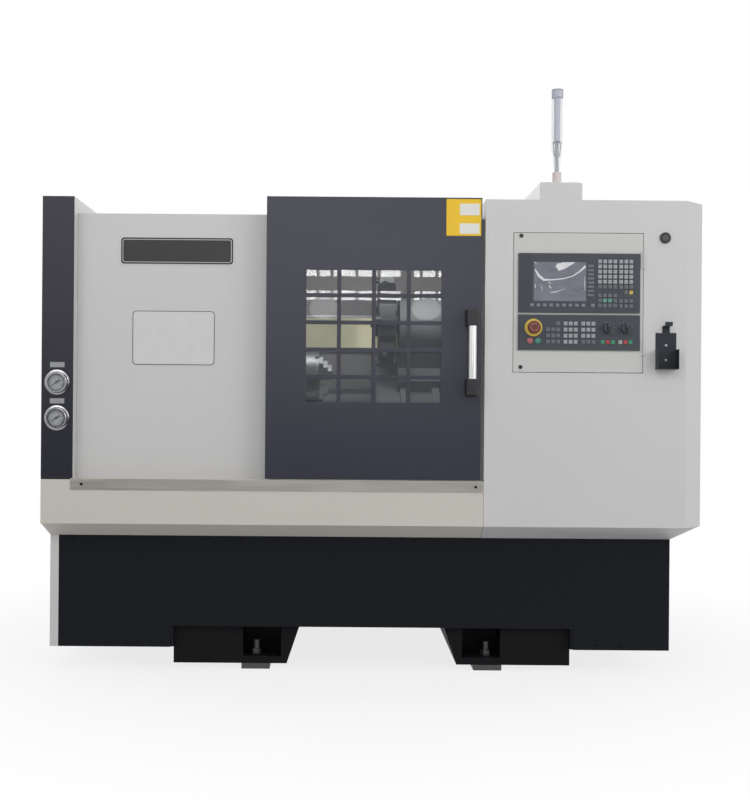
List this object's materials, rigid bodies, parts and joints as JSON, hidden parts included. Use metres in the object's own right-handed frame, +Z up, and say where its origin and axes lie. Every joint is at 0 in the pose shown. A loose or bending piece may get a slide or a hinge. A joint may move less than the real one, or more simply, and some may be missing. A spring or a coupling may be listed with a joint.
{
  "type": "cnc turning lathe",
  "caption": "Enclosed slant-bed turning lathe with a sliding windowed door, chuck, tool turret, tailstock, hinged operator panel, pressure gauges and a signal lamp.",
  "frame": {"origin": "middle of the bounding box on the floor", "axes": "+X to the operator's right along the spindle, +Y from the operator to the back, +Z up"},
  "size_m": [2.3, 1.51, 2.057],
  "materials": {
    "cover_paint": "satin light warm grey enamel",
    "apron_paint": "satin warm grey enamel",
    "door_paint": "satin dark blue-grey enamel",
    "column_paint": "satin blue-black enamel",
    "base_paint": "satin near-black enamel",
    "casting": "painted near-black casting",
    "machine_paint": "grey machine enamel",
    "ground_steel": "ground steel",
    "strip_steel": "brushed stainless strip",
    "zinc_steel": "zinc plated steel",
    "chrome": "polished chrome",
    "black_plastic": "black moulded plastic",
    "black_sheet": "black powder coat",
    "panel_paint": "pale grey textured enamel",
    "unit_plastic": "slate moulded plastic",
    "keycaps": "grey moulded keys",
    "red_plastic": "red moulded plastic",
    "glass": "clear laminated pane",
    "lens": "clear lens",
    "rubber": "black ribbed belt",
    "motor_paint": "black motor enamel",
    "lamp_post": "pale grey enamel",
    "aluminium": "anodised aluminium",
    "needle": "black needle"
  },
  "bodies": {
    "frame": {"base_casting": "casting", "levelling_feet": "zinc_steel", "base_cover": "base_paint", "left_lower_panel": "cover_paint", "left_end_cover": "cover_paint", "gauge_panel": "column_paint", "gauge_cases": "chrome", "gauge_lenses": "lens", "fixed_front_panel": "cover_paint", "apron": "apron_paint", "sill_strip": "strip_steel", "door_rail": "zinc_steel", "roof_panel": "cover_paint", "rear_panel": "cover_paint", "operator_cabinet": "cover_paint", "key_lock": "black_plastic", "pendant_holder": "black_sheet", "electrical_cabinet": "cover_paint", "slant_bed": "machine_paint", "guide_rails": "ground_steel", "headstock": "machine_paint", "spindle_motor": "motor_paint", "drive_belt": "rubber", "z_servo_motor": "motor_paint", "inner_guard": "zinc_steel", "hydraulic_unit": "motor_paint", "coolant_tank": "cover_paint", "lamp_bracket": "cover_paint", "lamp_foot": "lamp_post", "lamp_tube": "lens"},
    "upper_gauge_needle": {"upper_needle": "needle"},
    "lower_gauge_needle": {"lower_needle": "needle"},
    "lock_core": {"lock_barrel": "chrome"},
    "rear_door": {"electrical_door": "cover_paint"},
    "spindle_unit": {"spindle": "ground_steel", "chuck": "ground_steel"},
    "chuck_jaw_1": {"jaw_1": "zinc_steel"},
    "chuck_jaw_2": {"jaw_2": "zinc_steel"},
    "chuck_jaw_3": {"jaw_3": "zinc_steel"},
    "motor_drive": {"motor_pulley": "zinc_steel"},
    "carriage": {"saddle": "machine_paint", "x_servo_motor": "motor_paint"},
    "carriage_screw": {"z_ballscrew": "ground_steel"},
    "tool_slide": {"cross_slide": "machine_paint"},
    "turret": {"turret_disc": "ground_steel", "tool_holders": "zinc_steel"},
    "tailstock_body": {"tailstock": "machine_paint"},
    "tailstock_quill": {"quill": "ground_steel"},
    "door": {"door_panel": "door_paint", "door_glass": "glass", "door_handle": "black_plastic", "door_grip": "aluminium", "door_hangers": "zinc_steel"},
    "operator_panel": {"panel_plate": "panel_paint", "display_unit": "unit_plastic", "control_unit": "unit_plastic", "panel_keys": "keycaps"},
    "emergency_stop": {"estop_button": "red_plastic"},
    "feed_override": {"feed_knob": "black_plastic"},
    "speed_override": {"speed_knob": "black_plastic"}
  },
  "joints": [
    {"name": "door_slide", "type": "slide", "parent": "frame", "child": "door", "axis": [1, 0, 0], "range_m": [-0.64, 0]},
    {"name": "spindle_spin", "type": "hinge", "parent": "frame", "child": "spindle_unit", "pos_m": [-0.29, -0.17, 1.04], "axis": [1, 0, 0], "continuous": true},
    {"name": "motor_spin", "type": "hinge", "parent": "frame", "child": "motor_drive", "pos_m": [-0.73, -0.17, 0.64], "axis": [1, 0, 0], "continuous": true},
    {"name": "jaw_1_slide", "type": "slide", "parent": "spindle_unit", "child": "chuck_jaw_1", "axis": [0, -0.7071, 0.7071], "range_m": [-0.004, 0.004]},
    {"name": "jaw_2_slide", "type": "slide", "parent": "spindle_unit", "child": "chuck_jaw_2", "axis": [0, -0.2588, -0.9659], "range_m": [-0.004, 0.004]},
    {"name": "jaw_3_slide", "type": "slide", "parent": "spindle_unit", "child": "chuck_jaw_3", "axis": [0, 0.9659, 0.2588], "range_m": [-0.004, 0.004]},
    {"name": "carriage_slide", "type": "slide", "parent": "frame", "child": "carriage", "axis": [1, 0, 0], "range_m": [-0.12, 0.1]},
    {"name": "carriage_screw_turn", "type": "hinge", "parent": "frame", "child": "carriage_screw", "pos_m": [0.3, 0.1199, 0.89858], "axis": [1, 0, 0], "range_deg": [-4400, 3700]},
    {"name": "tool_slide_move", "type": "slide", "parent": "carriage", "child": "tool_slide", "axis": [0, 0.7071, 0.7071], "range_m": [-0.11, 0.05]},
    {"name": "turret_index", "type": "hinge", "parent": "tool_slide", "child": "turret", "pos_m": [0.07, 0.06335, 1.27335], "axis": [1, 0, 0], "continuous": true},
    {"name": "tailstock_slide", "type": "slide", "parent": "frame", "child": "tailstock_body", "axis": [1, 0, 0], "range_m": [-0.23, 0]},
    {"name": "quill_slide", "type": "slide", "parent": "tailstock_body", "child": "tailstock_quill", "axis": [1, 0, 0], "range_m": [-0.1, 0]},
    {"name": "panel_hinge", "type": "hinge", "parent": "frame", "child": "operator_panel", "pos_m": [0.927, -0.705, 1.295], "axis": [0, 0, 1], "range_deg": [0, 95]},
    {"name": "estop_press", "type": "slide", "parent": "operator_panel", "child": "emergency_stop", "axis": [0, 1, 0], "range_m": [0, 0.006], "stiffness_N_per_m": 800},
    {"name": "feed_knob_turn", "type": "hinge", "parent": "operator_panel", "child": "feed_override", "pos_m": [0.802, -0.715, 1.208], "axis": [0, 1, 0], "range_deg": [-135, 135]},
    {"name": "speed_knob_turn", "type": "hinge", "parent": "operator_panel", "child": "speed_override", "pos_m": [0.865, -0.715, 1.208], "axis": [0, 1, 0], "range_deg": [-135, 135]},
    {"name": "lock_turn", "type": "hinge", "parent": "frame", "child": "lock_core", "pos_m": [0.9995, -0.69, 1.521], "axis": [0, 1, 0], "range_deg": [0, 90]},
    {"name": "upper_needle_turn", "type": "hinge", "parent": "frame", "child": "upper_gauge_needle", "pos_m": [-1.095, -0.71, 1.007], "axis": [0, 1, 0], "range_deg": [0, 270], "stiffness_Nm_per_rad": 0.002},
    {"name": "lower_needle_turn", "type": "hinge", "parent": "frame", "child": "lower_gauge_needle", "pos_m": [-1.095, -0.71, 0.884], "axis": [0, 1, 0], "range_deg": [0, 270], "stiffness_Nm_per_rad": 0.002},
    {"name": "rear_door_hinge", "type": "hinge", "parent": "frame", "child": "rear_door", "pos_m": [0.959, 0.734, 1.05], "axis": [0, 0, -1], "range_deg": [0, 110]}
  ],
  "couplings": [
    {"joint": "motor_spin", "follows": "spindle_spin", "ratio": 1.6667},
    {"joint": "jaw_2_slide", "follows": "jaw_1_slide", "ratio": 1},
    {"joint": "jaw_3_slide", "follows": "jaw_1_slide", "ratio": 1},
    {"joint": "carriage_screw_turn", "follows": "carriage_slide", "rad_per_m": 628.32}
  ]
}
